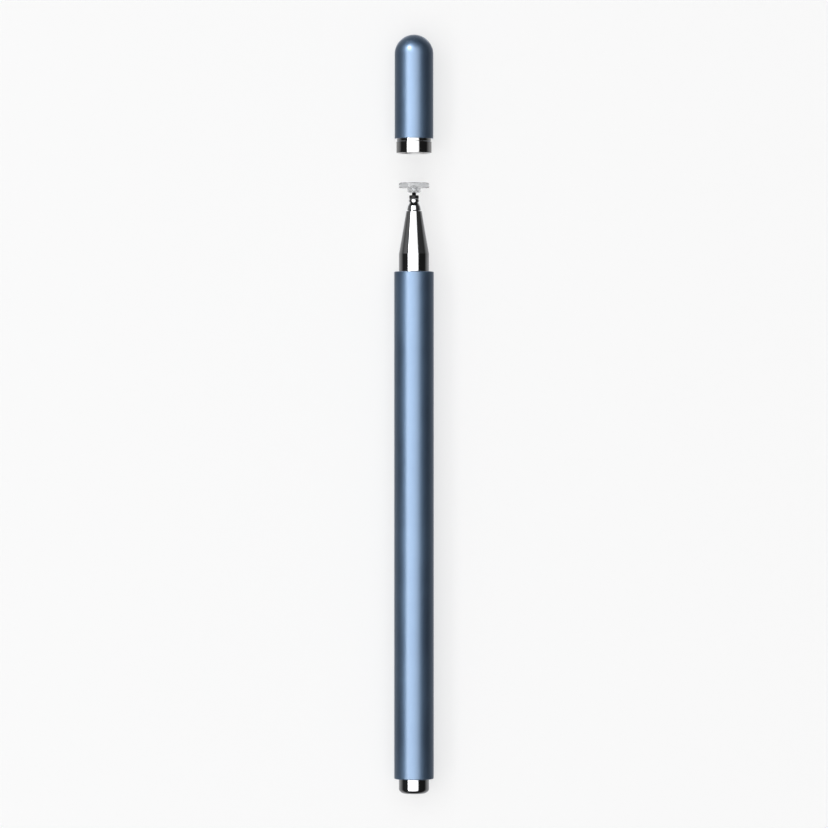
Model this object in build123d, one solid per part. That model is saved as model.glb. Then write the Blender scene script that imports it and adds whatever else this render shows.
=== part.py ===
from build123d import *
import math
import os

os.makedirs("parts", exist_ok=True)

# The pen lies on a table along X with its tip toward +X, and the cap lies in line ahead of the tip.
# Lengths run along the pen's axis, radii from it. Everything is in millimetres.

# Barrel, a straight tube
BARREL_RADIUS = 4.5
BARREL_LENGTH = 115.0
BARREL_BORE_RADIUS = 3.5
BARREL_EDGE = 0.25

# Counterbores at both ends of the barrel
END_BORE_RADIUS = 3.7
FRONT_BORE_DEPTH = 10.0
TAIL_BORE_DEPTH = 8.0

# Fits between pieces
PRESS_GAP = 0.01
THREAD_GAP = 0.02
RUN_GAP = 0.03
SLIDE_GAP = 0.05

# Stubs at both ends of the barrel, which the cap's collar slides over
STUB_RADIUS = 3.5

# Tail plug and the disc magnet in it
TAIL_STUB_LENGTH = 3.3
TAIL_EDGE = 1.1
TAIL_WALL = 1.0
TAIL_MAGNET_RADIUS = 2.5
TAIL_MAGNET_LENGTH = 5.0

# Threaded bush in the front of the barrel and the ring magnet in it
NOSE_THREAD_RADIUS = 2.5
FRONT_MAGNET_RADIUS = 3.3
FRONT_MAGNET_BORE = 2.7
FRONT_MAGNET_LENGTH = 2.0

# Nose: a stub, a cone and a threaded spigot
NOSE_STUB_LENGTH = 4.0
NOSE_CONE_LENGTH = 9.7
NOSE_TIP_RADIUS = 1.85
NOSE_TIP_EDGE = 0.1
NOSE_SPIGOT_LENGTH = 8.0
SPIGOT_EDGE = 0.3
NIB_HOLE_DEPTH = 5.4

# Nib that screws into the nose
NIB_THREAD_RADIUS = 1.25
NIB_THREAD_LENGTH = 4.8
NIB_BEAD_RADIUS = 1.66
NIB_BEAD_TOP_RADIUS = 1.44
NIB_BEAD_LENGTH = 1.2
NIB_BEAD_FOOT = 0.25
NIB_BEAD_UNDERCUT = 0.16
NIB_THROAT_LENGTH = 0.7
NIB_THROAT_RADIUS = 1.08
NIB_RADIUS = 1.21
NIB_LENGTH = 2.77
NIB_BACK_BORE = 0.85
NIB_BACK_DEPTH = 3.2

# Clear tip disc and its hub
DISC_RADIUS = 3.45
DISC_THICKNESS = 1.22
DISC_EDGE = 0.3
HUB_RADIUS = 1.53
HUB_LENGTH = 1.04
HUB_EDGE = 0.25
HUB_ROOT = 0.12

# Ball joint between the disc and the nib
BALL_RADIUS = 0.82
BALL_DEPTH = 1.42
BALL_GAP = 0.02
LIP_DROP = 0.35
TILT_LIMIT = 30
STEM_RADIUS = 0.45
STUD_HEAD_RADIUS = 0.75
STUD_HEAD_LENGTH = 0.6

# Dark sleeve on the stem between hub and nib
NECK_LENGTH = 1.38
SLEEVE_RADIUS = 1.08
SLEEVE_EDGE = 0.15

# Cap shell with a round end
CAP_RADIUS = 4.4
CAP_BORE_RADIUS = 3.85
CAP_LENGTH = 23.6
CAP_EDGE = 0.1
CAP_GAP = 6.7

# Steel collar in the cap's mouth
COLLAR_RADIUS = 4.05
COLLAR_STUB_LENGTH = 3.3
COLLAR_DEPTH = 4.0
COLLAR_GROOVE_WIDTH = 0.6
COLLAR_GROOVE_DEPTH = 0.12
COLLAR_EDGE = 0.15
COLLAR_LEAD = 0.12

# Stations along the axis, worked out from the lengths so that X is 0 midway along the row of pieces
nose_length = NOSE_STUB_LENGTH + NOSE_CONE_LENGTH
tip_length = NIB_LENGTH + NECK_LENGTH + HUB_LENGTH + DISC_THICKNESS
pen_length = TAIL_STUB_LENGTH + BARREL_LENGTH + nose_length + tip_length
overall_length = pen_length + CAP_GAP + COLLAR_STUB_LENGTH + CAP_LENGTH
tail_end = -overall_length / 2
barrel_tail = tail_end + TAIL_STUB_LENGTH
barrel_front = barrel_tail + BARREL_LENGTH
cone_start = barrel_front + NOSE_STUB_LENGTH
nose_front = cone_start + NOSE_CONE_LENGTH
nib_front = nose_front + NIB_LENGTH
hub_back = nib_front + NECK_LENGTH
disc_back = hub_back + HUB_LENGTH
disc_front = disc_back + DISC_THICKNESS
ball_centre = disc_front - BALL_DEPTH
collar_mouth = disc_front + CAP_GAP
cap_mouth = collar_mouth + COLLAR_STUB_LENGTH
cap_apex = cap_mouth + CAP_LENGTH
dome_start = cap_apex - CAP_RADIUS
collar_end = cap_mouth + COLLAR_DEPTH

PEN_AXIS = Axis((0, 0, BARREL_RADIUS), (1, 0, 0))
SAME = 0.001
HALF = 0.5


def place(point):
    """A point of an outline, given as station and radius, in the upright plane through the axis"""
    station, radius = point
    return (station, 0, BARREL_RADIUS + radius)


def turned(points, arcs=()):
    """A solid of revolution from outline points; arcs gives the point that a curved side passes through"""
    through = dict(arcs)
    sides = []
    for number, point in enumerate(points):
        after = points[(number + 1) % len(points)]
        if number in through:
            sides.append(ThreePointArc(place(point), place(through[number]), place(after)))
        else:
            sides.append(Line(place(point), place(after)))
    return revolve(make_face(Wire(sides)), axis=PEN_AXIS)


def rims(solid, station, radius):
    """The round edges of a turned solid at one station and radius"""
    found = []
    for edge in solid.edges().filter_by(GeomType.CIRCLE):
        if abs(edge.arc_center.X - station) < SAME and abs(edge.radius - radius) < SAME:
            found.append(edge)
    return found


def on_arc(centre, radius, degrees):
    """A point of a circle around a station on the axis, at an angle from +X"""
    angle = math.radians(degrees)
    return (centre + radius * math.cos(angle), radius * math.sin(angle))


def barrel():
    """Tube with a counterbore at each end and small edge rounds"""
    front_shoulder = barrel_front - FRONT_BORE_DEPTH
    tail_shoulder = barrel_tail + TAIL_BORE_DEPTH
    tube = turned([
        (barrel_tail, END_BORE_RADIUS),
        (barrel_tail, BARREL_RADIUS),
        (barrel_front, BARREL_RADIUS),
        (barrel_front, END_BORE_RADIUS),
        (front_shoulder, END_BORE_RADIUS),
        (front_shoulder, BARREL_BORE_RADIUS),
        (tail_shoulder, BARREL_BORE_RADIUS),
        (tail_shoulder, END_BORE_RADIUS),
    ])
    ends = rims(tube, barrel_tail, BARREL_RADIUS) + rims(tube, barrel_front, BARREL_RADIUS)
    return fillet(ends, BARREL_EDGE)


def tail_plug():
    """Round-edged stub with a spigot in the barrel and a pocket for its magnet"""
    spigot_radius = END_BORE_RADIUS - PRESS_GAP
    pocket_radius = TAIL_MAGNET_RADIUS + PRESS_GAP
    spigot_end = barrel_tail + TAIL_BORE_DEPTH
    pocket_end = tail_end + TAIL_WALL
    plug = turned([
        (tail_end, 0),
        (tail_end, STUB_RADIUS),
        (barrel_tail, STUB_RADIUS),
        (barrel_tail, spigot_radius),
        (spigot_end, spigot_radius),
        (spigot_end, pocket_radius),
        (pocket_end, pocket_radius),
        (pocket_end, 0),
    ])
    return fillet(rims(plug, tail_end, STUB_RADIUS), TAIL_EDGE)


def tail_magnet():
    """Disc magnet at the bottom of the plug's pocket"""
    start = tail_end + TAIL_WALL
    end = start + TAIL_MAGNET_LENGTH
    return turned([(start, 0), (start, TAIL_MAGNET_RADIUS), (end, TAIL_MAGNET_RADIUS), (end, 0)])


def front_bush():
    """Threaded bush pressed into the barrel, with a recess for the ring magnet in its face"""
    back = barrel_front - FRONT_BORE_DEPTH
    recess = barrel_front - FRONT_MAGNET_LENGTH
    outside = END_BORE_RADIUS - PRESS_GAP
    recess_radius = FRONT_MAGNET_RADIUS + PRESS_GAP
    return turned([
        (back, NOSE_THREAD_RADIUS),
        (back, outside),
        (barrel_front, outside),
        (barrel_front, recess_radius),
        (recess, recess_radius),
        (recess, NOSE_THREAD_RADIUS),
    ])


def front_magnet():
    """Ring magnet in the bush's face, held in by the nose"""
    back = barrel_front - FRONT_MAGNET_LENGTH
    return turned([
        (back, FRONT_MAGNET_BORE),
        (back, FRONT_MAGNET_RADIUS),
        (barrel_front, FRONT_MAGNET_RADIUS),
        (barrel_front, FRONT_MAGNET_BORE),
    ])


def nose_cone():
    """Stub and cone in one piece, with a spigot behind and a hole for the nib in front"""
    spigot_radius = NOSE_THREAD_RADIUS - THREAD_GAP
    spigot_end = barrel_front - NOSE_SPIGOT_LENGTH
    hole_end = nose_front - NIB_HOLE_DEPTH
    nose = turned([
        (spigot_end, 0),
        (spigot_end, spigot_radius),
        (barrel_front, spigot_radius),
        (barrel_front, STUB_RADIUS),
        (cone_start, STUB_RADIUS),
        (nose_front, NOSE_TIP_RADIUS),
        (nose_front, NIB_THREAD_RADIUS),
        (hole_end, NIB_THREAD_RADIUS),
        (hole_end, 0),
    ])
    nose = chamfer(rims(nose, spigot_end, spigot_radius), SPIGOT_EDGE)
    return fillet(rims(nose, nose_front, NOSE_TIP_RADIUS), NOSE_TIP_EDGE)


def nib_base():
    """Bead, conical throat and rounded collar on a threaded shank, bored for the ball stud"""
    shank_radius = NIB_THREAD_RADIUS - THREAD_GAP
    shank_end = nose_front - NIB_THREAD_LENGTH
    bead_top = nose_front + NIB_BEAD_LENGTH
    throat_top = bead_top + NIB_THROAT_LENGTH
    collar_middle = ((throat_top + nib_front) / 2, NIB_RADIUS)
    bore = STEM_RADIUS + RUN_GAP
    bore_end = shank_end + NIB_BACK_DEPTH
    return turned(
        [
            (shank_end, NIB_BACK_BORE),
            (shank_end, shank_radius),
            (nose_front, shank_radius),
            (nose_front, NIB_BEAD_RADIUS - NIB_BEAD_UNDERCUT),
            (nose_front + NIB_BEAD_FOOT, NIB_BEAD_RADIUS),
            (bead_top, NIB_BEAD_TOP_RADIUS),
            (throat_top, NIB_THROAT_RADIUS),
            (nib_front, NIB_THROAT_RADIUS),
            (nib_front, bore),
            (bore_end, bore),
            (bore_end, NIB_BACK_BORE),
        ],
        arcs=[(6, collar_middle)],
    )


def ball_stud():
    """Ball on a stem that turns in the nib and is headed over behind it"""
    neck = ball_centre - math.sqrt(BALL_RADIUS**2 - STEM_RADIUS**2)
    head_front = nose_front - NIB_THREAD_LENGTH + NIB_BACK_DEPTH - RUN_GAP
    head_back = head_front - STUD_HEAD_LENGTH
    return turned(
        [
            (ball_centre + BALL_RADIUS, 0),
            (neck, STEM_RADIUS),
            (head_front, STEM_RADIUS),
            (head_front, STUD_HEAD_RADIUS),
            (head_back, STUD_HEAD_RADIUS),
            (head_back, 0),
        ],
        arcs=[(0, on_arc(ball_centre, BALL_RADIUS, 80))],
    )


def neck_sleeve():
    """Sleeve on the stem, short enough for the hub to swing clear of it at full tilt"""
    tilt = math.radians(TILT_LIMIT)
    hub_drop = ball_centre - hub_back
    reach = hub_drop * math.cos(tilt) + (HUB_RADIUS - HUB_EDGE) * math.sin(tilt)
    back = nib_front + RUN_GAP
    front = ball_centre - reach - SLIDE_GAP
    bore = STEM_RADIUS + PRESS_GAP
    sleeve = turned([
        (back, bore),
        (back, SLEEVE_RADIUS),
        (front, SLEEVE_RADIUS),
        (front, bore),
    ])
    return fillet(rims(sleeve, front, SLEEVE_RADIUS), SLEEVE_EDGE)


def tip_disc():
    """Clear disc and hub with a snap socket for the ball and a flared mouth for the stem"""
    tilt = math.radians(TILT_LIMIT)
    socket_radius = BALL_RADIUS + BALL_GAP
    lip = ball_centre - LIP_DROP
    lip_radius = math.sqrt(socket_radius**2 - LIP_DROP**2)
    mouth_drop = ball_centre - hub_back
    mouth_radius = mouth_drop * math.tan(tilt) + STEM_RADIUS / math.cos(tilt) + RUN_GAP
    disc = turned(
        [
            (disc_front, 0),
            (disc_front, DISC_RADIUS),
            (disc_back, DISC_RADIUS),
            (disc_back, HUB_RADIUS),
            (hub_back, HUB_RADIUS),
            (hub_back, mouth_radius),
            (lip, lip_radius),
            (ball_centre + socket_radius, 0),
        ],
        arcs=[(6, on_arc(ball_centre, socket_radius, 60))],
    )
    edges = rims(disc, disc_front, DISC_RADIUS) + rims(disc, disc_back, DISC_RADIUS)
    disc = fillet(edges, DISC_EDGE)
    disc = fillet(rims(disc, disc_back, HUB_RADIUS), HUB_ROOT)
    return chamfer(rims(disc, hub_back, HUB_RADIUS), HUB_EDGE)


def cap_shell():
    """Round-ended shell with a wider mouth for the collar"""
    mouth_radius = COLLAR_RADIUS + PRESS_GAP
    shell = turned(
        [
            (cap_mouth, mouth_radius),
            (cap_mouth, CAP_RADIUS),
            (dome_start, CAP_RADIUS),
            (cap_apex, 0),
            (dome_start + CAP_BORE_RADIUS, 0),
            (dome_start, CAP_BORE_RADIUS),
            (collar_end, CAP_BORE_RADIUS),
            (collar_end, mouth_radius),
        ],
        arcs=[
            (2, on_arc(dome_start, CAP_RADIUS, 45)),
            (4, on_arc(dome_start, CAP_BORE_RADIUS, 45)),
        ],
    )
    return fillet(rims(shell, cap_mouth, CAP_RADIUS), CAP_EDGE)


def cap_collar():
    """Steel ring, half in the shell, with a fine groove under the shell's edge"""
    inside = STUB_RADIUS + SLIDE_GAP
    groove_radius = COLLAR_RADIUS - COLLAR_GROOVE_DEPTH
    groove_start = cap_mouth - COLLAR_GROOVE_WIDTH
    collar = turned([
        (collar_mouth, inside),
        (collar_mouth, COLLAR_RADIUS),
        (groove_start - COLLAR_GROOVE_DEPTH, COLLAR_RADIUS),
        (groove_start, groove_radius),
        (cap_mouth, groove_radius),
        (cap_mouth, COLLAR_RADIUS),
        (collar_end, COLLAR_RADIUS),
        (collar_end, inside),
    ])
    collar = fillet(rims(collar, collar_mouth, COLLAR_RADIUS), COLLAR_EDGE)
    return chamfer(rims(collar, collar_mouth, inside), COLLAR_LEAD)


PIECES = {
    "barrel": barrel,
    "tail_plug": tail_plug,
    "tail_magnet": tail_magnet,
    "front_bush": front_bush,
    "front_magnet": front_magnet,
    "nose_cone": nose_cone,
    "nib_base": nib_base,
    "ball_stud": ball_stud,
    "neck_sleeve": neck_sleeve,
    "tip_disc": tip_disc,
    "cap_shell": cap_shell,
    "cap_collar": cap_collar,
}

for name, make in PIECES.items():
    export_step(make(), f"parts/{name}.step")

print("overall length", overall_length)
print("ball centre", ball_centre, "barrel front", barrel_front, "collar mouth", collar_mouth)
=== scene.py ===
# %% [markdown]
# ## The frame
# A disc stylus is a row of turned pieces on one axis: plug, tube, nose, nib, ball, disc and cap. They
# could be placed by eye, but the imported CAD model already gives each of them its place. It is loaded
# first and stays where it is, so that every mesh made below takes its length and width from it.

# %% Load the frame
import math

import bmesh
import bpy
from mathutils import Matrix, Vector


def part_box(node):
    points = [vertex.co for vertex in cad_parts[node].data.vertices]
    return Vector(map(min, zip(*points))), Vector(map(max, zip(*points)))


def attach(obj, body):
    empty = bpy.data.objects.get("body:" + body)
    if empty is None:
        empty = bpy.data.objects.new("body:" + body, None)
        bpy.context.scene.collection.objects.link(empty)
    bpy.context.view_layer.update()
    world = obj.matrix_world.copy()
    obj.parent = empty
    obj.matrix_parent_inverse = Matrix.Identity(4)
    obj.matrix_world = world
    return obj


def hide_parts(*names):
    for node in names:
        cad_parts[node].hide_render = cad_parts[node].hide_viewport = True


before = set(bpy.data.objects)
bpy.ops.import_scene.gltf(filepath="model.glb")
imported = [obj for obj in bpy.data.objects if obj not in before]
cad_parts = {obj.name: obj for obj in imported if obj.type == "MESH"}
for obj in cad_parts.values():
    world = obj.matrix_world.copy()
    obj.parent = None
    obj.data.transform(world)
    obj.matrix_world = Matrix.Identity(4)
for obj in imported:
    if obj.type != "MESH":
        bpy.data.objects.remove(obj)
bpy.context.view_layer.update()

scene = bpy.context.scene
scene.view_settings.view_transform = "Standard"

# %% [markdown]
# ## Stations along the pen
# A turner works from a drawing of distances along the axis and radii from it. The same two numbers
# describe every piece here. They could be typed in, but then a change of the CAD model would leave
# them behind, so they are read from the boxes of its nodes. Millimetres keep them easy to read, and
# they are turned into metres only when a mesh is made.

# %% Read the barrel's stations
MM = 0.001


def reach(node):
    """Where a turned node starts and ends along the axis, and its radius, in millimetres"""
    low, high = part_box(node)
    return low.x / MM, high.x / MM, (high.y - low.y) / 2 / MM


barrel_tail, barrel_front, barrel_radius = reach("barrel")
axis_height = barrel_radius
print("barrel", round(barrel_front - barrel_tail, 2), "mm long, radius", round(barrel_radius, 2), "mm")

# %% [markdown]
# ## A lathe
# Round pieces could be made from primitive cylinders, but a real turned piece has small rounds on its
# edges, and polished metal shows them as thin bright lines. A Bevel modifier could round the edges, but
# each one would need its own weight. So every piece starts as an outline of corners, each corner gets an
# arc of its own size, and the outline is spun about the axis. This cell replaces one corner by its arc.

# %% Round a corner
ARC_STEPS = 7
STEPS_PER_MM = 16


def toward(point, other, length):
    """The point at a length from one point towards another"""
    gap = math.dist(point, other)
    return tuple(a + (b - a) * length / gap for a, b in zip(point, other))


def corner_arc(before, corner, after, rounding):
    """The points of a small arc that replaces a corner"""
    first = [a - b for a, b in zip(before, corner)]
    second = [a - b for a, b in zip(after, corner)]
    lengths = math.hypot(*first) * math.hypot(*second)
    cosine = sum(a * b for a, b in zip(first, second)) / lengths
    opening = math.acos(max(-1, min(1, cosine)))
    set_back = rounding / math.tan(opening / 2)
    start = toward(corner, before, set_back)
    end = toward(corner, after, set_back)
    halfway = tuple((a + b) / 2 for a, b in zip(start, end))
    middle = toward(corner, halfway, rounding / math.sin(opening / 2))
    turn = math.pi - opening
    steps = ARC_STEPS + round(STEPS_PER_MM * rounding)
    points = []
    for step in range(steps + 1):
        share = step / steps
        one = math.sin((1 - share) * turn) / math.sin(turn)
        two = math.sin(share * turn) / math.sin(turn)
        points.append(tuple(m + one * (a - m) + two * (b - m) for m, a, b in zip(middle, start, end)))
    return points


sample = corner_arc((0, 0), (0, 2), (2, 2), rounding=1)
print("a square corner rounded by 1 mm has", len(sample), "points")

# %% [markdown]
# ### Outlines
# An outline lists its corners in order: station, radius and, where the corner is rounded, the size of
# the round. A tube is a closed ring of corners. A piece that is solid on the axis starts and ends there
# and stays open, because the spin closes it.

# %% Follow the corners
def outline(corners, closed):
    """Station and radius points from corners of station, radius and, where wanted, rounding"""
    points = []
    for number, corner in enumerate(corners):
        if len(corner) == 3:
            before = corners[number - 1]
            after = corners[(number + 1) % len(corners)]
            points.extend(corner_arc(before[:2], corner[:2], after[:2], rounding=corner[2]))
        else:
            points.append(corner)
    if closed:
        points.append(points[0])
    return points


sample = outline([(0, 1), (1, 1), (1, 2), (0, 2, 0.1)], closed=True)
print("a ring with one rounded corner has", len(sample), "points")

# %% [markdown]
# ### Guard rings
# Smooth shading averages the normals at each ring of points, and next to a round that bends the mirror
# image in a long straight face. Hard edges would stop it, but they would also show as lines. So two
# guard rings are put close to the ends of every long run. They keep the averaging beside the corner, and
# the straight face between them mirrors cleanly.

# %% Add guard rings
GUARD = 0.04
LONG_RUN = 4 * GUARD


def guarded(points):
    """The same outline with a guard ring close to both ends of each long straight run"""
    out = [points[0]]
    for one, two in zip(points, points[1:]):
        if math.dist(one, two) > LONG_RUN:
            out.append(toward(one, two, GUARD))
            out.append(toward(two, one, GUARD))
        out.append(two)
    return out


print("a straight run has", len(guarded([(0, 1), (1, 1)])), "rings")

# %% [markdown]
# ### Spinning
# On the lathe the metal turns and the tool follows the outline. A Screw modifier could spin the outline,
# but bmesh gives a finished mesh at once, with the points on the axis merged and all normals outward.
# Every piece then rides on its CAD body and stands for its CAD node.

# %% Spin an outline
SEGMENTS = 144
MERGE_DISTANCE = 1e-6
SHARP_ANGLE = math.radians(35)


def turned(name, points, body, node):
    """A turned piece from an outline in millimetres; it rides on a body and stands for a CAD node"""
    shape = bmesh.new()
    line = [shape.verts.new((x * MM, 0, (axis_height + r) * MM)) for x, r in guarded(points)]
    edges = [shape.edges.new(pair) for pair in zip(line, line[1:])]
    bmesh.ops.spin(
        shape, geom=line + edges, cent=(0, 0, axis_height * MM), axis=(1, 0, 0),
        angle=2 * math.pi, steps=SEGMENTS, use_merge=True,
    )
    bmesh.ops.remove_doubles(shape, verts=shape.verts, dist=MERGE_DISTANCE)
    bmesh.ops.recalc_face_normals(shape, faces=shape.faces)
    mesh = bpy.data.meshes.new(name)
    shape.to_mesh(mesh)
    shape.free()
    mesh.shade_smooth()
    mesh.set_sharp_from_angle(angle=SHARP_ANGLE)
    piece = bpy.data.objects.new(name, mesh)
    scene.collection.objects.link(piece)
    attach(piece, body)
    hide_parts(node)
    print(name, "faces", len(mesh.polygons))
    return piece


print("a full turn has", SEGMENTS, "segments")

# %% [markdown]
# ## Barrel
# The barrel is a drawn aluminium tube with its ends faced off. A cylinder with a Solidify modifier would
# make the tube, but not the small round at its ends, which catches the light, nor the wider sockets in
# its bore. So it is a closed ring: tail face, outside, front face, and the bore with both sockets.

# %% Make the barrel
BARREL_EDGE = 0.25
SOCKET_EDGE = 0.05
bush_end, _, bush_radius = reach("front_bush")
tail_end, plug_end, plug_radius = reach("tail_plug")
spigot_end, nose_front, stub_radius = reach("nose_cone")
bore_radius = stub_radius

barrel = turned("barrel_tube", outline([
    (barrel_tail, bush_radius, SOCKET_EDGE),
    (barrel_tail, barrel_radius, BARREL_EDGE),
    (barrel_front, barrel_radius, BARREL_EDGE),
    (barrel_front, bush_radius, SOCKET_EDGE),
    (bush_end, bush_radius),
    (bush_end, bore_radius),
    (plug_end, bore_radius),
    (plug_end, bush_radius),
], closed=True), body="pen", node="barrel")

# %% [markdown]
# ## Tail plug
# The plug closes the tail and gives the posted cap something to sit on. It could be left as its CAD
# node, but that mesh is coarser and its step has sharp edges. Here the generous round at the end has
# twice as many steps, so reflections bend smoothly around it, and small rounds soften the step. The
# pocket inside holds a magnet, which is a CAD node that stays hidden in there.

# %% Make the tail plug
TAIL_EDGE = 1.1
STEP_EDGE = 0.06
pocket_start, _, pocket_radius = reach("tail_magnet")

tail_plug = turned("tail_turning", outline([
    (tail_end, 0),
    (tail_end, stub_radius, TAIL_EDGE),
    (barrel_tail, stub_radius, STEP_EDGE),
    (barrel_tail, plug_radius, STEP_EDGE),
    (plug_end, plug_radius, STEP_EDGE),
    (plug_end, pocket_radius),
    (pocket_start, pocket_radius),
    (pocket_start, 0),
], closed=False), body="pen", node="tail_plug")

# %% [markdown]
# ## Nose
# The nose is one turned and plated piece: a short stub that the cap's collar slides over, then a long
# cone. A cylinder and a cone joined together would meet in a razor edge. Here a small arc divides the
# two, crisp but not sharp, as polishing leaves it. A spigot at the back goes into the barrel's bush, and
# a hole at the front takes the nib.

# %% Make the nose
STUB_LENGTH = 4.0
NOSE_TIP_RADIUS = 1.85
NOSE_TIP_EDGE = 0.1
CONE_CORNER = 0.25
NIB_HOLE_DEPTH = 5.4
NIB_HOLE_RADIUS = 1.25
SPIGOT_RADIUS = 2.48
SPIGOT_EDGE = 0.3

nose = turned("nose_turning", outline([
    (spigot_end, 0),
    (spigot_end, SPIGOT_RADIUS, SPIGOT_EDGE),
    (barrel_front, SPIGOT_RADIUS),
    (barrel_front, stub_radius, STEP_EDGE),
    (barrel_front + STUB_LENGTH, stub_radius, CONE_CORNER),
    (nose_front, NOSE_TIP_RADIUS, NOSE_TIP_EDGE),
    (nose_front, NIB_HOLE_RADIUS),
    (nose_front - NIB_HOLE_DEPTH, NIB_HOLE_RADIUS),
    (nose_front - NIB_HOLE_DEPTH, 0),
], closed=False), body="pen", node="nose_cone")

# %% [markdown]
# ## Nib
# The nib is the small screwed-in end that carries the ball. From the nose outwards it has a bead with
# an undercut foot, a conical throat and a rounded collar. Each slope mirrors another part of the room,
# so the throat shows as a dark band between two bright spots. A scaled sphere could stand in for the
# collar, but its ends wouldn't meet the throat, so the collar's arc is worked out point by point.

# %% Work out the nib's collar
BEAD_LENGTH = 1.2
THROAT_LENGTH = 0.7
THROAT_RADIUS = 1.08
NIB_COLLAR_RADIUS = 1.21
NIB_COLLAR_STEPS = 16
nib_back, nib_front, bead_radius = reach("nib_base")
bead_top = nose_front + BEAD_LENGTH
throat_top = bead_top + THROAT_LENGTH


def swell(start, end, low, high, steps):
    """Points of an arc that swells from one radius to a larger one and back"""
    half_length = (end - start) / 2
    rise = high - low
    arc_radius = (half_length**2 + rise**2) / (2 * rise)
    points = []
    for step in range(steps + 1):
        along = half_length * (2 * step / steps - 1)
        radius = high - arc_radius + math.sqrt(arc_radius**2 - along**2)
        points.append((start + half_length + along, radius))
    return points


nib_collar = swell(throat_top, nib_front, THROAT_RADIUS, NIB_COLLAR_RADIUS, NIB_COLLAR_STEPS)
print("nib collar", round(nib_front - throat_top, 2), "mm long,", len(nib_collar), "points")

# %% Make the nib
BEAD_TOP_RADIUS = 1.44
BEAD_FOOT = 0.25
BEAD_UNDERCUT = 0.16
BEAD_ROUND = 0.12
BEAD_EDGE = 0.04
NIB_BORE = 0.48
NIB_BACK_BORE = 0.85
NIB_BACK_DEPTH = 3.2
NIB_SHANK_RADIUS = 1.23

nib = turned("nib_turning", outline([
    (nib_back, NIB_BACK_BORE),
    (nib_back, NIB_SHANK_RADIUS),
    (nose_front, NIB_SHANK_RADIUS),
    (nose_front, bead_radius - BEAD_UNDERCUT),
    (nose_front + BEAD_FOOT, bead_radius, BEAD_ROUND),
    (bead_top, BEAD_TOP_RADIUS, BEAD_EDGE),
    *nib_collar,
    (nib_front, NIB_BORE),
    (nib_back + NIB_BACK_DEPTH, NIB_BORE),
    (nib_back + NIB_BACK_DEPTH, NIB_BACK_BORE),
], closed=True), body="pen", node="nib_base")

# %% [markdown]
# ## Ball stud
# A steel ball on a thin stem turns in the nib. A sphere and a cylinder could overlap to make it, but the
# ball shows through the clear hub of the disc, and a seam inside it would show too. So ball, stem and
# head are one outline, and the ball's arc has enough steps to look truly round.

# %% Make the ball stud
STEM_RADIUS = 0.45
HEAD_RADIUS = 0.75
HEAD_LENGTH = 0.6
BALL_STEPS = 40
stud_back, ball_top, ball_radius = reach("ball_stud")
ball_centre = ball_top - ball_radius
stem_angle = math.pi - math.asin(STEM_RADIUS / ball_radius)


def arc_about(centre, radius, start, end, steps):
    """Points of an arc about a station on the axis, between two angles from straight ahead"""
    points = []
    for step in range(steps + 1):
        angle = start + (end - start) * step / steps
        points.append((centre + radius * math.cos(angle), radius * math.sin(angle)))
    return points


stud = turned("stud_turning", outline([
    *arc_about(ball_centre, ball_radius, 0, stem_angle, BALL_STEPS),
    (stud_back + HEAD_LENGTH, STEM_RADIUS),
    (stud_back + HEAD_LENGTH, HEAD_RADIUS),
    (stud_back, HEAD_RADIUS),
    (stud_back, 0),
], closed=False), body="stud", node="ball_stud")

# %% [markdown]
# ## Neck sleeve
# A short black sleeve sits on the stem between nib and disc and turns with it. A plain tube primitive
# would do for its size, but a moulded ring has a soft front edge and a crisper back edge, and the light
# shows both. It ends where the disc's hub still swings clear of it.

# %% Make the sleeve
SLEEVE_EDGE = 0.15
SLEEVE_BACK_EDGE = 0.05
SLEEVE_BORE = 0.46
sleeve_back, sleeve_front, sleeve_radius = reach("neck_sleeve")

sleeve = turned("sleeve_ring", outline([
    (sleeve_back, SLEEVE_BORE),
    (sleeve_back, sleeve_radius, SLEEVE_BACK_EDGE),
    (sleeve_front, sleeve_radius, SLEEVE_EDGE),
    (sleeve_front, SLEEVE_BORE),
], closed=True), body="stud", node="neck_sleeve")

# %% [markdown]
# ## Clear disc
# The disc and its hub are one clear moulding. Two separate solids would show a surface between them,
# because glass bends the light at every face. It needs one closed mesh with a real inside, so the
# outline runs over the face, the rim, the back and the hub, and then into the flared mouth and the round
# socket that snaps over the ball.

# %% Make the clear disc
DISC_THICKNESS = 1.22
DISC_EDGE = 0.3
HUB_RADIUS = 1.53
HUB_EDGE = 0.25
HUB_ROOT = 0.12
SOCKET_GAP = 0.02
LIP_DROP = 0.35
MOUTH_RADIUS = 1.035
SOCKET_STEPS = 24
hub_back, disc_front, disc_radius = reach("tip_disc")
disc_back = disc_front - DISC_THICKNESS
socket_radius = ball_radius + SOCKET_GAP
lip_angle = math.acos(-LIP_DROP / socket_radius)

disc = turned("disc_moulding", outline([
    (disc_front, 0),
    (disc_front, disc_radius, DISC_EDGE),
    (disc_back, disc_radius, DISC_EDGE),
    (disc_back, HUB_RADIUS, HUB_ROOT),
    (hub_back + HUB_EDGE, HUB_RADIUS),
    (hub_back, HUB_RADIUS - HUB_EDGE),
    (hub_back, MOUTH_RADIUS),
    *arc_about(ball_centre, socket_radius, lip_angle, 0, SOCKET_STEPS),
], closed=False), body="disc", node="tip_disc")

# %% [markdown]
# ## Cap shell
# The cap's shell is drawn from sheet aluminium to a round end, so its wall is even. A capped cylinder
# with a Solidify modifier would come close, but a step inside the mouth takes the collar. So the outline
# follows the inside from the axis to the mouth and the outside back to the apex.

# %% Make the cap shell
CAP_BORE = 3.85
CAP_EDGE = 0.1
DOME_STEPS = 28
QUARTER_TURN = math.pi / 2
cap_mouth, cap_apex, cap_radius = reach("cap_shell")
collar_mouth, collar_end, collar_radius = reach("cap_collar")
dome_start = cap_apex - cap_radius

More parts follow.
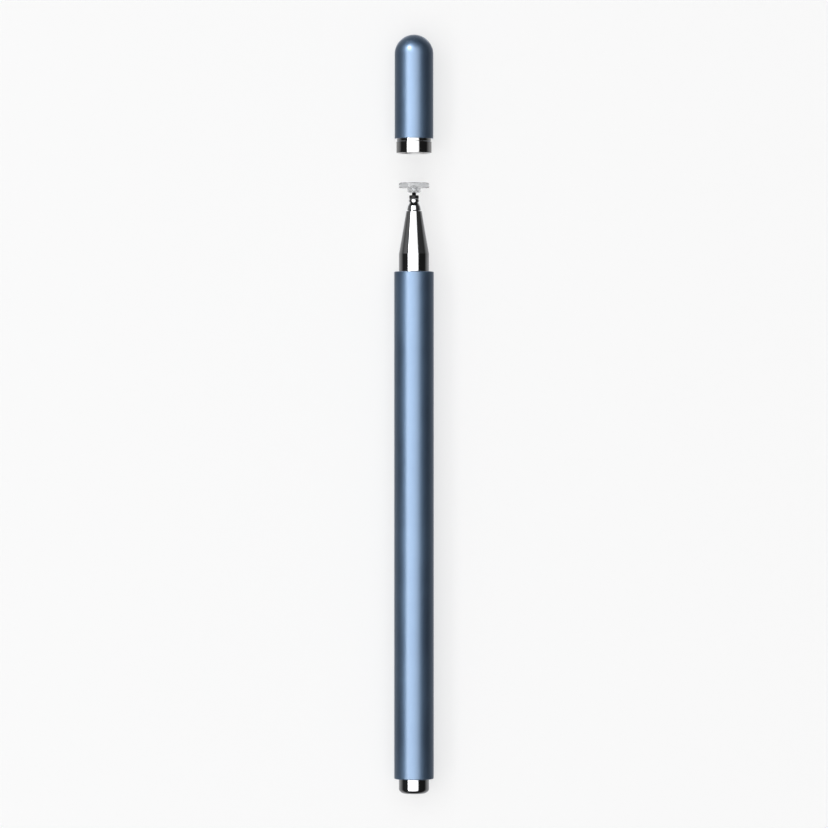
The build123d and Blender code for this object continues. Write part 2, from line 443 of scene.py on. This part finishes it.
cap_shell = turned("cap_drawn_shell", outline([
    *arc_about(dome_start, CAP_BORE, 0, QUARTER_TURN, DOME_STEPS),
    (collar_end, CAP_BORE),
    (collar_end, collar_radius),
    (cap_mouth, collar_radius),
    (cap_mouth, cap_radius, CAP_EDGE),
    *arc_about(dome_start, cap_radius, QUARTER_TURN, 0, DOME_STEPS),
], closed=False), body="cap", node="cap_shell")

# %% [markdown]
# ## Collar
# The collar is a separate steel ring pressed into the cap's mouth. A fine groove under the shell's edge
# makes the thin double line between the two. A bump in the material could fake the groove, but seen from
# the side it would vanish, so it is cut into the outline.

# %% Make the collar
GROOVE_WIDTH = 0.6
GROOVE_DEPTH = 0.12
GROOVE_EDGE = 0.05
COLLAR_EDGE = 0.15
COLLAR_BORE = 3.55
COLLAR_LEAD = 0.12
groove_radius = collar_radius - GROOVE_DEPTH
groove_start = cap_mouth - GROOVE_WIDTH

collar = turned("collar_ring", outline([
    (collar_mouth, COLLAR_BORE, COLLAR_LEAD),
    (collar_mouth, collar_radius, COLLAR_EDGE),
    (groove_start - GROOVE_DEPTH, collar_radius, GROOVE_EDGE),
    (groove_start, groove_radius, GROOVE_EDGE),
    (cap_mouth, groove_radius),
    (cap_mouth, collar_radius),
    (collar_end, collar_radius),
    (collar_end, COLLAR_BORE),
], closed=True), body="cap", node="cap_collar")

# %% [markdown]
# ## Shared surface effects
# A single flat colour reads as plastic, so every finish varies a little over its surface. The same nodes
# could be copied into each material, but a later change would then have to be made in all of them. So an
# effect is built once, as a node group with named sockets, and each finish sets its own density. A group
# puts out only values that change over the surface, and the shaders stay in the materials. Two helpers
# make nodes and groups, and two more make noise and fit its values to a range.

# %% Start nodes and groups
def add(tree, kind, **settings):
    """A node with some of its settings"""
    node = tree.nodes.new(kind)
    for key, value in settings.items():
        setattr(node, key, value)
    return node


def new_group(name, inputs, outputs):
    """A shader node group with float sockets, and its input and output nodes"""
    tree = bpy.data.node_groups.new(name, "ShaderNodeTree")
    for label, value in inputs.items():
        socket = tree.interface.new_socket(label, in_out="INPUT", socket_type="NodeSocketFloat")
        socket.default_value = value
    for label in outputs:
        tree.interface.new_socket(label, in_out="OUTPUT", socket_type="NodeSocketFloat")
    print(name, "takes", list(inputs), "and gives", outputs)
    return tree, tree.nodes.new("NodeGroupInput"), tree.nodes.new("NodeGroupOutput")


print("node groups so far:", len(bpy.data.node_groups))

# %% Make noise and fit values to a range
UNIT = (0.0, 1.0)
EVENLY = (1, 1, 1)
NOISE_ROUGHNESS = 0.55


def object_noise(tree, density, detail, roughness=NOISE_ROUGHNESS, stretch=EVENLY):
    """Noise in the object's own metres, with its density from a socket"""
    where = add(tree, "ShaderNodeTexCoord")
    spread = add(tree, "ShaderNodeMapping")
    spread.inputs["Scale"].default_value = stretch
    noise = add(tree, "ShaderNodeTexNoise")
    noise.inputs["Detail"].default_value = detail
    noise.inputs["Roughness"].default_value = roughness
    tree.links.new(where.outputs["Object"], spread.inputs["Vector"])
    tree.links.new(spread.outputs["Vector"], noise.inputs["Vector"])
    tree.links.new(density, noise.inputs["Scale"])
    return noise.outputs["Fac"]


def rescale(tree, value, given_range, wanted_range):
    """A value mapped from one range to another and held inside it"""
    node = add(tree, "ShaderNodeMapRange", clamp=True)
    for label, number in zip(("From Min", "From Max"), given_range):
        node.inputs[label].default_value = number
    for label, number in zip(("To Min", "To Max"), wanted_range):
        node.inputs[label].default_value = number
    tree.links.new(value, node.inputs["Value"])
    return node.outputs["Result"]


print("densities count per metre, so", 1 / MM, "is one grain in a millimetre")

# %% [markdown]
# ### Blasted grain
# Metal that was blasted before it was dyed, and plastic from a blasted mould, have a fine even grain and
# a tone that drifts slowly. An image could hold both, but it would need a UV map and would blur close
# up. Two noises in the object's own metres stay sharp at any distance: a fine one for the relief and a
# broad one for the drift.

# %% Make the blasted grain
GRAIN_DENSITY = 7500.0
GRAIN_DETAIL = 2.0
MOTTLE_DENSITY = 90.0
MOTTLE_DETAIL = 4.0
MOTTLE_RANGE = (0.35, 0.65)

grain_group, given, result = new_group(
    "Blasted grain",
    {"Grain Density": GRAIN_DENSITY, "Mottle Density": MOTTLE_DENSITY},
    ["Height", "Mottle"],
)
fine = object_noise(grain_group, given.outputs["Grain Density"], GRAIN_DETAIL)
broad = object_noise(grain_group, given.outputs["Mottle Density"], MOTTLE_DETAIL)
grain_group.links.new(fine, result.inputs["Height"])
grain_group.links.new(rescale(grain_group, broad, MOTTLE_RANGE, UNIT), result.inputs["Mottle"])

# %% [markdown]
# ### Handling smudges
# Fingers leave faint dull clouds on polished metal and on clear plastic. They could be painted by hand,
# but they are never looked at one by one. A cloudy noise is enough, cut so that most of the surface
# stays clean.

# %% Make the smudges
SMUDGE_DENSITY = 260.0
SMUDGE_DETAIL = 5.0
SMUDGE_ROUGHNESS = 0.65
SMUDGE_RANGE = (0.42, 0.72)

smudge_group, given, result = new_group(
    "Handling smudges", {"Smudge Density": SMUDGE_DENSITY}, ["Smudge"],
)
cloud = object_noise(smudge_group, given.outputs["Smudge Density"], SMUDGE_DETAIL, SMUDGE_ROUGHNESS)
smudge_group.links.new(rescale(smudge_group, cloud, SMUDGE_RANGE, UNIT), result.inputs["Smudge"])

# %% [markdown]
# ### Lathe rings
# The tool leaves fine rings around every turned piece, and polishing only softens them. A Wave texture
# would make them all alike. Noise that is dense along the axis and hardly changes across it gives rings
# of uneven depth, as a worn tool cuts them.

# %% Make the lathe rings
RING_DENSITY = 14000.0
RING_DETAIL = 2.0
RING_STRETCH = (1, 0.004, 0.004)

ring_group, given, result = new_group("Lathe rings", {"Ring Density": RING_DENSITY}, ["Height"])
rings = object_noise(ring_group, given.outputs["Ring Density"], RING_DETAIL, stretch=RING_STRETCH)
ring_group.links.new(rings, result.inputs["Height"])

# %% [markdown]
# ### Rim wear and highlight
# Dye is thinner on a turned rim, and handling thins it further. The paler rims are also a painted
# highlight, standing in for the light that the rounded rims catch. The rims could be separate faces with
# a finish of their own, but that edge would be straight. Pointiness, which Cycles measures at each point
# of the mesh, finds the rims by itself, and a patchy noise breaks the line up. Only the blue finish takes
# it so far, and as a group it is ready for another.

# %% Make the rim wear and painted highlight
PATCH_DENSITY = 1100.0
PATCH_DETAIL = 4.0
PATCH_RANGE = (0.4, 0.6)
PATCH_SHARE = (0.35, 1.0)
RIM_POINTINESS = (0.53, 0.6)


def combine(tree, operation, one, two):
    """Two values put together by a sum, a product or the like; either may be a plain number"""
    node = add(tree, "ShaderNodeMath", operation=operation)
    for value, socket in zip((one, two), node.inputs):
        if isinstance(value, (int, float)):
            socket.default_value = value
        else:
            tree.links.new(value, socket)
    return node.outputs["Value"]


# The rim mask marks where wear and a painted highlight pale the colour.
rim_wear_and_highlight_group, given, result = new_group("Rim wear and highlight", {"Patch Density": PATCH_DENSITY}, ["Rim"])
form = add(rim_wear_and_highlight_group, "ShaderNodeNewGeometry")
patch = object_noise(rim_wear_and_highlight_group, given.outputs["Patch Density"], PATCH_DETAIL)
edge = rescale(rim_wear_and_highlight_group, form.outputs["Pointiness"], RIM_POINTINESS, UNIT)
broken = rescale(rim_wear_and_highlight_group, patch, PATCH_RANGE, PATCH_SHARE)
rim_wear_and_highlight_group.links.new(combine(rim_wear_and_highlight_group, "MULTIPLY", edge, broken), result.inputs["Rim"])

# %% [markdown]
# ## Finishes
# Each finish is one Principled shader. What is the same all over is set on the shader's own sockets,
# where an export can read it, and the groups above feed the sockets that vary. Two helpers start a
# finish and place a group in it. Three more mix two tones, raise a fine relief and give the finish to its
# pieces.

# %% Start a finish
def new_finish(name, **constants):
    """A material with one Principled shader and constants on its sockets"""
    material = bpy.data.materials.new(name)
    material.use_nodes = True
    tree = material.node_tree
    shader = tree.nodes["Principled BSDF"]
    for label, value in constants.items():
        shader.inputs[label.replace("_", " ")].default_value = value
    return material, tree, shader


def use(tree, group, **densities):
    """A node group placed in a material with the material's own values"""
    node = add(tree, "ShaderNodeGroup", node_tree=group)
    for label, value in densities.items():
        node.inputs[label.replace("_", " ")].default_value = value
    return node.outputs


print("groups to place in a finish:", [group.name for group in bpy.data.node_groups])

# %% Mix tones, raise a relief and dress pieces
def blend(tree, factor, one, two):
    """A colour between two, by a factor; each may be a colour or a socket"""
    mix = add(tree, "ShaderNodeMix", data_type="RGBA")
    colour_sockets = [socket for socket in mix.inputs if socket.type == "RGBA"]
    for colour, socket in zip((one, two), colour_sockets):
        if isinstance(colour, tuple):
            socket.default_value = (*colour, 1)
        else:
            tree.links.new(colour, socket)
    tree.links.new(factor, mix.inputs["Factor"])
    return next(socket for socket in mix.outputs if socket.type == "RGBA")


def emboss(tree, shader, height, strength, depth):
    """Fine relief on a surface"""
    bump = add(tree, "ShaderNodeBump")
    bump.inputs["Strength"].default_value = strength
    bump.inputs["Distance"].default_value = depth
    tree.links.new(height, bump.inputs["Height"])
    tree.links.new(bump.outputs["Normal"], shader.inputs["Normal"])


def dress(pieces, material):
    """Gives a finish to pieces or CAD nodes"""
    for piece in pieces:
        piece.data.materials.clear()
        piece.data.materials.append(material)
    print(material.name, "on", [piece.name for piece in pieces])


undressed = [item.name for item in scene.objects if item.type == "MESH" and not item.data.materials]
print("pieces without a finish:", undressed)

# %% [markdown]
# ### Blue anodised aluminium
# Anodising grows a clear, hard oxide on the metal and dyes it. The dyed metal gives the blue, and the
# oxide on top adds a white sheen that pales the highlight. A plain blue metal would lack that sheen, so
# the shader is a blue metal with a clear coat whose refractive index is that of aluminium oxide.
# Blasting before the dye gives it a soft grain. The turned rims are a little paler, partly from wear and
# partly as a painted highlight.

# %% Make the blue finish
OXIDE_IOR = 1.77
OXIDE_ROUGHNESS = 0.29
DYED_METALLIC = 0.99
BLUE_DEEP = (0.176, 0.278, 0.432)
BLUE_PALE = (0.195, 0.304, 0.464)
BLUE_RIM_WEAR_AND_HIGHLIGHT = (0.34, 0.44, 0.58)
BLUE_ROUGHNESS = (0.46, 0.50)
BLUE_RELIEF = 0.6
BLUE_DEPTH = 0.02 * MM

blue, tree, shader = new_finish(
    "blue_anodised", Metallic=DYED_METALLIC,
    Coat_Weight=1.0, Coat_Roughness=OXIDE_ROUGHNESS, Coat_IOR=OXIDE_IOR,
)
grain = use(tree, grain_group, Grain_Density=GRAIN_DENSITY, Mottle_Density=MOTTLE_DENSITY)
rim_wear_and_highlight = use(tree, rim_wear_and_highlight_group, Patch_Density=PATCH_DENSITY)
dyed = blend(tree, grain["Mottle"], BLUE_DEEP, BLUE_PALE)
# The paler rim colour mixed in here is partly wear and partly a painted highlight.
tree.links.new(blend(tree, rim_wear_and_highlight["Rim"], dyed, BLUE_RIM_WEAR_AND_HIGHLIGHT), shader.inputs["Base Color"])
tree.links.new(rescale(tree, grain["Mottle"], UNIT, BLUE_ROUGHNESS), shader.inputs["Roughness"])
emboss(tree, shader, grain["Height"], BLUE_RELIEF, BLUE_DEPTH)
dress([barrel, cap_shell], blue)

# %% [markdown]
# ### Bright plate
# The nose, nib and plug are plated and polished. Polished metal is mostly what it mirrors, and a shader
# with no roughness at all would mirror like a looking glass. Faint lathe rings in its relief and a few
# soft smudges in its roughness make it a touched, turned surface.

# %% Make the bright plate
CHROME = (0.84, 0.85, 0.87)
SMUDGE_SHADE = 0.94
RING_RELIEF = 0.05
RING_DEPTH = 0.004 * MM


def bright(name, colour, polish, smeared, ring_density=RING_DENSITY):
    """Polished metal with faint lathe rings and smudges; polish and smeared are its roughnesses"""
    material, tree, shader = new_finish(name, Metallic=1.0)
    smudge = use(tree, smudge_group, Smudge_Density=SMUDGE_DENSITY)["Smudge"]
    rings = use(tree, ring_group, Ring_Density=ring_density)["Height"]
    tone = blend(tree, smudge, colour, tuple(SMUDGE_SHADE * part for part in colour))
    tree.links.new(tone, shader.inputs["Base Color"])
    tree.links.new(rescale(tree, smudge, UNIT, (polish, smeared)), shader.inputs["Roughness"])
    emboss(tree, shader, rings, RING_RELIEF, RING_DEPTH)
    return material, tree, shader


chrome, _, _ = bright("bright_chrome", CHROME, polish=0.06, smeared=0.12)
dress([nose, nib, tail_plug], chrome)

# %% [markdown]
# ### Brass and nickel
# A brass bush in the barrel's front holds the nose, and two nickel-plated magnets hold the cap. They are
# almost hidden, and their CAD shapes are right, so the CAD nodes stay and only get a finish. Brass is
# turned and left unpolished, so it is rougher and its rings are wider.

# %% Make the brass and nickel
BRASS = (0.72, 0.52, 0.23)
BRASS_RINGS = 6000.0
NICKEL = (0.62, 0.60, 0.57)

brass, _, _ = bright("turned_brass", BRASS, polish=0.22, smeared=0.34, ring_density=BRASS_RINGS)
dress([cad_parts["front_bush"]], brass)
nickel, _, _ = bright("nickel_plate", NICKEL, polish=0.14, smeared=0.25)
dress([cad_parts["front_magnet"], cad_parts["tail_magnet"]], nickel)

# %% [markdown]
# ### Polished steel
# Only the outside of the collar is polished. Its bore is left as the reamer cut it, dull enough to
# scatter some light back out of the cap's mouth. The bore could have a second material slot, but a mask
# does without one: it tells the two surfaces apart by their distance from the pen's axis.

# %% Make the collar's finish
STEEL = (0.80, 0.80, 0.80)
REAMED = 0.42
MASK_EDGE = 0.05 * MM
bore_wall = (COLLAR_BORE + COLLAR_LEAD) * MM

collar_finish, tree, shader = bright("polished_steel", STEEL, polish=0.06, smeared=0.13)
where = add(tree, "ShaderNodeTexCoord")
across = add(tree, "ShaderNodeVectorMath", operation="MULTIPLY_ADD")
across.inputs[1].default_value = (0, 1, 1)
across.inputs[2].default_value = (0, 0, -axis_height * MM)
from_axis = add(tree, "ShaderNodeVectorMath", operation="LENGTH")
tree.links.new(where.outputs["Object"], across.inputs[0])
tree.links.new(across.outputs["Vector"], from_axis.inputs[0])
dull = rescale(tree, from_axis.outputs["Value"], (bore_wall - MASK_EDGE, bore_wall), (REAMED, 0.0))
polish = shader.inputs["Roughness"].links[0].from_socket
tree.links.new(combine(tree, "ADD", polish, dull), shader.inputs["Roughness"])
dress([collar], collar_finish)

# %% [markdown]
# ### Stud steel
# The stem of the stud is blackened, as black oxide leaves steel, and looks as dark as the sleeve below
# it. The ball is bare steel with a satin polish, and turns freely in its socket. Two pieces would need a
# seam between them, so one mask along the axis divides the two finishes.

# %% Make the stud's finish
BLACK_OXIDE = (0.012, 0.012, 0.013)
OXIDE_DULLNESS = 0.3
BALL_STEEL = (0.86, 0.86, 0.86)
BALL_SHARE = 0.55
oxide_end = (ball_centre - BALL_SHARE * ball_radius) * MM


def own_place(tree):
    """The X, Y and Z of a surface point in the object's own metres"""
    where = add(tree, "ShaderNodeTexCoord")
    parts = add(tree, "ShaderNodeSeparateXYZ")
    tree.links.new(where.outputs["Object"], parts.inputs["Vector"])
    return parts.outputs


stud_finish, tree, shader = bright("stud_steel", BALL_STEEL, polish=0.30, smeared=0.38)
bare = rescale(tree, own_place(tree)["X"], (oxide_end - MASK_EDGE, oxide_end + MASK_EDGE), UNIT)
steel_tone = shader.inputs["Base Color"].links[0].from_socket
tree.links.new(blend(tree, bare, BLACK_OXIDE, steel_tone), shader.inputs["Base Color"])
steel_polish = shader.inputs["Roughness"].links[0].from_socket
dullness = rescale(tree, bare, UNIT, (OXIDE_DULLNESS, 0.0))
tree.links.new(combine(tree, "ADD", steel_polish, dullness), shader.inputs["Roughness"])
dress([stud], stud_finish)

# %% [markdown]
# ### Black plastic
# The sleeve is a moulded black ring with a satin skin. Pure black would hide its form, so its two tones
# lie just above black. The grain group gives it the skin of a blasted mould, and its roughness follows
# the same grain.

# %% Make the black finish
BLACK_DEEP = (0.008, 0.008, 0.009)
BLACK_PALE = (0.014, 0.014, 0.015)
BLACK_GRAIN = 7000.0
BLACK_MOTTLE = 400.0
BLACK_SPECULAR = 0.4
BLACK_ROUGHNESS = (0.32, 0.44)
BLACK_RELIEF = 0.15
BLACK_DEPTH = 0.01 * MM
GRAIN_RANGE = (0.3, 0.7)

black, tree, shader = new_finish("black_sleeve", Specular_IOR_Level=BLACK_SPECULAR)
grain = use(tree, grain_group, Grain_Density=BLACK_GRAIN, Mottle_Density=BLACK_MOTTLE)
tree.links.new(blend(tree, grain["Mottle"], BLACK_DEEP, BLACK_PALE), shader.inputs["Base Color"])
tree.links.new(rescale(tree, grain["Height"], GRAIN_RANGE, BLACK_ROUGHNESS), shader.inputs["Roughness"])
emboss(tree, shader, grain["Height"], BLACK_RELIEF, BLACK_DEPTH)
dress([sleeve], black)

# %% [markdown]
# ### Clear plastic
# The disc is clear polycarbonate, which bends light a little more than window glass does. Seen along
# its face it shows a flat grey tone. A volume inside the mesh could give that tone, but it is slow and
# noisy, so the grey is set in the colour that tints each surface.
# A trace of smear in the roughness stands for a face that has slid over many screens.

# %% Make the clear finish
POLYCARBONATE_IOR = 1.585
CLEAR_CLEAN = (0.65, 0.66, 0.67)
CLEAR_SMEARED = (0.59, 0.60, 0.61)
CLEAR_SMUDGES = 400.0
CLEAR_ROUGHNESS = (0.02, 0.08)

clear, tree, shader = new_finish(
    "clear_plastic", Metallic=0.0, Transmission_Weight=1.0, IOR=POLYCARBONATE_IOR,
)
smudge = use(tree, smudge_group, Smudge_Density=CLEAR_SMUDGES)["Smudge"]
tree.links.new(blend(tree, smudge, CLEAR_CLEAN, CLEAR_SMEARED), shader.inputs["Base Color"])
tree.links.new(rescale(tree, smudge, UNIT, CLEAR_ROUGHNESS), shader.inputs["Roughness"])
dress([disc], clear)

# %% [markdown]
# ## Stage
# The photograph is a product shot on white. The white could come from strong lamps, but they would also
# bleach the pen. So the world is white only for rays that show it as a background, seen directly,
# mirrored or through glass, and it lights the pen at a lower level.

# %% Make the world
AMBIENT = 0.40


def seen_white(tree):
    """A value of one for rays that show the background: seen directly, mirrored or through glass"""
    path = add(tree, "ShaderNodeLightPath").outputs
    direct = combine(tree, "MAXIMUM", path["Is Camera Ray"], path["Is Glossy Ray"])
    return combine(tree, "MAXIMUM", direct, path["Is Transmission Ray"])


world = bpy.data.worlds.new("studio")
scene.world = world
world.use_nodes = True
tree = world.node_tree
background = tree.nodes["Background"]
background.inputs["Color"].default_value = (1, 1, 1, 1)
tree.links.new(rescale(tree, seen_white(tree), UNIT, (AMBIENT, 1.0)), background.inputs["Strength"])
print("ambient light", AMBIENT)

# %% [markdown]
# ### Floor
# The pen lies on a large pale table. A plain matt floor would come out grey at its far end, and a floor
# that only glows would lose the pen's shadow. So a matt floor is mixed with a white glow, less of it
# near the pen, where the shadow falls, and all of it far away.

# %% Mix the floor's finish
FLOOR_TONE = (0.86, 0.86, 0.86)
FLOOR_ROUGHNESS = 0.9
GLOW_SHARE = (0.62, 1.0)
GLOW_REACH = (0.12, 0.9)

floor_finish, tree, shader = new_finish(
    "pale_floor", Base_Color=(*FLOOR_TONE, 1), Roughness=FLOOR_ROUGHNESS, Specular_IOR_Level=0.0,
)
glow = add(tree, "ShaderNodeEmission")
where = add(tree, "ShaderNodeTexCoord")
away = add(tree, "ShaderNodeVectorMath", operation="LENGTH")
tree.links.new(where.outputs["Object"], away.inputs[0])
share = rescale(tree, away.outputs["Value"], GLOW_REACH, GLOW_SHARE)
mixed = add(tree, "ShaderNodeMixShader")
tree.links.new(combine(tree, "MULTIPLY", seen_white(tree), share), mixed.inputs["Fac"])
tree.links.new(shader.outputs["BSDF"], mixed.inputs[1])
tree.links.new(glow.outputs["Emission"], mixed.inputs[2])
tree.links.new(mixed.outputs["Shader"], tree.nodes["Material Output"].inputs["Surface"])
print("floor glow", GLOW_SHARE[0], "near the pen and", GLOW_SHARE[1], "far away")

# %% Lay the floor
FLOOR_SIDE = 8.0


def stage_panel(name, corners, material):
    """A flat four-cornered stage piece"""
    mesh = bpy.data.meshes.new(name)
    mesh.from_pydata(corners, [], [(0, 1, 2, 3)])
    mesh.materials.append(material)
    piece = bpy.data.objects.new(name, mesh)
    scene.collection.objects.link(piece)
    return piece


def level_panel(name, x_range, y_range, height, material):
    """A level rectangle on the stage"""
    (left, right), (near, far) = x_range, y_range
    corners = [(left, near, height), (right, near, height), (right, far, height), (left, far, height)]
    return stage_panel(name, corners, material)


half_side = FLOOR_SIDE / 2
level_panel("floor", (-half_side, half_side), (-half_side, half_side), 0, floor_finish)
print("floor", FLOOR_SIDE, "m square")

# %% [markdown]
# ### Upright cards
# Polished metal in an all-white room looks white and flat. A studio stands dark cards around it, and
# their mirror images become the dark bands that give the metal its form. Darker metal colours would not
# move with the view as those bands do. The cards here show only in reflections. The two beside the pen
# get lighter past its tip, which is where the cone mirrors them.

# %% Make the cards' finishes
DARK_TONE = 0.010
LEFT_TONE = 0.016
LEFT_END_TONE = 0.12
RIGHT_END_TONE = 0.03
LIGHTER_PART = (0.09, 0.17)


def card_finish(name):
    """A flat glow whose strength is set by the caller"""
    material = bpy.data.materials.new(name)
    material.use_nodes = True
    tree = material.node_tree
    tree.nodes.clear()
    flat = add(tree, "ShaderNodeEmission")
    surface = add(tree, "ShaderNodeOutputMaterial")
    tree.links.new(flat.outputs["Emission"], surface.inputs["Surface"])
    return material, tree, flat.inputs["Strength"]


def side_finish(name, tone, end_tone):
    """A card that is dark along the pen and lighter past its tip"""
    material, tree, strength = card_finish(name)
    tree.links.new(rescale(tree, own_place(tree)["X"], LIGHTER_PART, (tone, end_tone)), strength)
    return material


dark_finish, _, strength = card_finish("dark_card")
strength.default_value = DARK_TONE
left_finish = side_finish("left_card", LEFT_TONE, LEFT_END_TONE)
right_finish = side_finish("right_card", DARK_TONE, RIGHT_END_TONE)
print("card tones from", DARK_TONE, "to", LEFT_END_TONE)

# %% Stand the cards
CARD_DISTANCE = 0.40
CARD_LENGTH = 1.6


def mirrored_only(piece):
    """Hides a stage piece from all but reflections"""
    piece.visible_camera = False
    piece.visible_diffuse = False
    piece.visible_transmission = False
    piece.visible_shadow = False


def card(name, along, side, top, finish):
    """A card standing on the floor on one side of the pen; top is its angle above the floor"""
    height = CARD_DISTANCE * math.tan(math.radians(top))
    corners = []
    for run, level in ((-1, 0), (1, 0), (1, height), (-1, height)):
        place = (run * CARD_LENGTH / 2, side * CARD_DISTANCE)
        corners.append((*(place if along == "x" else place[::-1]), level))
    mirrored_only(stage_panel(name, corners, finish))
    print(name, round(height, 2), "m high")


card("card_left", "x", 1, top=45, finish=left_finish)
card("card_right", "x", -1, top=56, finish=right_finish)
card("card_tip", "y", 1, top=42, finish=dark_finish)
card("card_tail", "y", -1, top=42, finish=dark_finish)

# %% [markdown]
# ### Floor strips
# Low on its flanks the pen mirrors the floor beside it. A white floor there would outline the pen in
# white, and dark cards laid up to the pen would outline it in black. In the photograph each flank has a
# grey edge that darkens inwards. So grey strips lie just above the floor, show only in reflections, and
# get darker with their distance from the pen.

# %% Lay the strips
STRIP_HEIGHT = 0.0002
STRIP_START = 0.0062
STRIP_LEVEL = 0.39
STRIP_FALL = -0.75
row_end = cap_apex * MM

strip_finish, tree, strength = card_finish("grey_strip")
place = own_place(tree)
aside = combine(tree, "ABSOLUTE", place["Y"], 0)
beyond = combine(tree, "SUBTRACT", combine(tree, "ABSOLUTE", place["X"], 0), row_end)
away = combine(tree, "MULTIPLY", combine(tree, "MAXIMUM", aside, beyond), 1 / STRIP_START)
fading = combine(tree, "POWER", combine(tree, "MAXIMUM", away, 1.0), STRIP_FALL)
tree.links.new(combine(tree, "MULTIPLY", fading, STRIP_LEVEL), strength)

lengthwise = (-CARD_DISTANCE, CARD_DISTANCE)
for name, side in (("strip_left", 1), ("strip_right", -1)):
    outwards = (side * STRIP_START, side * CARD_DISTANCE)
    mirrored_only(level_panel(name, lengthwise, outwards, STRIP_HEIGHT, strip_finish))
crosswise = (-STRIP_START, STRIP_START)
for name, side in (("strip_tip", 1), ("strip_tail", -1)):
    outwards = (side * (row_end + STRIP_START / 2), side * CARD_DISTANCE)
    mirrored_only(level_panel(name, outwards, crosswise, STRIP_HEIGHT, strip_finish))
print("strips from", round(STRIP_START / MM, 1), "mm beside the axis")

# %% [markdown]
# ### Soft boxes
# A wide soft box overhead lights the pen and draws the broad highlight along it. A second, narrow one
# at its left edge makes that side of the highlight the brighter. Sun or point lamps would draw thin
# hard lines on metal instead. Each box is given by the angles that it spans as the pen sees it, because
# those set where the highlight starts and ends.

# %% Hang the soft boxes
def soft_box(name, height, left, right, ends, radiance):
    """A wide soft light overhead, given by the angles it spans from straight up"""
    left_edge = height * math.tan(math.radians(left))
    right_edge = height * math.tan(math.radians(right))
    light = bpy.data.lights.new(name, "AREA")
    light.shape = "RECTANGLE"
    light.size = 2 * height * math.tan(math.radians(ends))
    light.size_y = left_edge - right_edge
    light.energy = radiance * math.pi * light.size * light.size_y
    lamp = bpy.data.objects.new(name, light)
    lamp.location = (0, (left_edge + right_edge) / 2, height)
    lamp.visible_camera = False
    scene.collection.objects.link(lamp)
    print(name, round(light.size, 2), "by", round(light.size_y, 2), "m,", round(light.energy, 1), "W")


soft_box("soft_box", height=1.4, left=44.8, right=-32.5, ends=50, radiance=0.97)
soft_box("soft_box_key", height=1.3, left=44.8, right=33, ends=50, radiance=1.65)

# %% [markdown]
# ### Scrim
# In the photograph the highlight on the blue metal fades towards the right. A scrim is a cloth that dims
# part of a light. Here it hangs above the soft box and hides the white world from the metal, dim at its
# right edge and white at its left one. Dimming the box itself would also darken the floor.

# %% Hang the scrim
SCRIM_HEIGHT = 1.6
SCRIM_LEFT = 10
SCRIM_RIGHT = -34
SCRIM_DIM = 0.10
white_edge = SCRIM_HEIGHT * math.tan(math.radians(SCRIM_LEFT))
dim_edge = SCRIM_HEIGHT * math.tan(math.radians(SCRIM_RIGHT))

scrim_finish, tree, strength = card_finish("scrim")
tree.links.new(rescale(tree, own_place(tree)["Y"], (dim_edge, white_edge), (SCRIM_DIM, 1.0)), strength)
scrim_run = (-2 * SCRIM_HEIGHT, 2 * SCRIM_HEIGHT)
mirrored_only(level_panel("scrim", scrim_run, (dim_edge, white_edge), SCRIM_HEIGHT, scrim_finish))
print("scrim", round(white_edge - dim_edge, 2), "m wide")

# %% [markdown]
# ### Small lamp
# The cap's round end carries one small bright spot. A painted spot would stay where it is when the view
# changes, so a small lamp makes it: a disc that shines at the dome's centre from the side where the spot
# is seen. It is kept out of diffuse light, so it adds no second shadow to the floor.

# %% Hang the small lamp
SPARK_SIZE = 0.10
SPARK_WATTS = 6.0
SPARK_OFFSET = (0.69, 0.51, 0.83)

spark = bpy.data.lights.new("spark", "AREA")
spark.shape = "DISK"
spark.size = SPARK_SIZE
spark.energy = SPARK_WATTS
spark_lamp = bpy.data.objects.new("spark", spark)
dome_centre = (dome_start * MM, 0, axis_height * MM)
spark_lamp.location = [a + b for a, b in zip(dome_centre, SPARK_OFFSET)]
spark_lamp.rotation_euler = Vector(SPARK_OFFSET).to_track_quat("Z", "Y").to_euler()
spark_lamp.visible_camera = False
spark_lamp.visible_diffuse = False
scene.collection.objects.link(spark_lamp)
print("small lamp at", [round(value, 2) for value in spark_lamp.location])

# %% [markdown]
# ## Camera
# The photograph looks straight down on the pen with a long lens: the pen's ends are hardly turned
# away, and the tail's rim bows by a pixel or two. An orthographic camera would lose that bow. So the
# lens is long, and its distance is worked out from the barrel's width in the picture.

# %% Place the camera
IMAGE_PIXELS = 828
BARREL_PIXELS = 39.7
LENS = 211.0
SENSOR = 36.0

pixels_per_metre = BARREL_PIXELS / (2 * barrel_radius * MM)
camera_distance = LENS / SENSOR * IMAGE_PIXELS / pixels_per_metre
lens = bpy.data.cameras.new("camera")
lens.lens = LENS
lens.sensor_width = SENSOR
camera = bpy.data.objects.new("camera", lens)
camera.location = (0, 0, axis_height * MM + camera_distance)
camera.rotation_euler = (0, 0, -math.pi / 2)
scene.collection.objects.link(camera)
scene.camera = camera
print("camera", round(camera_distance, 3), "m above the pen")
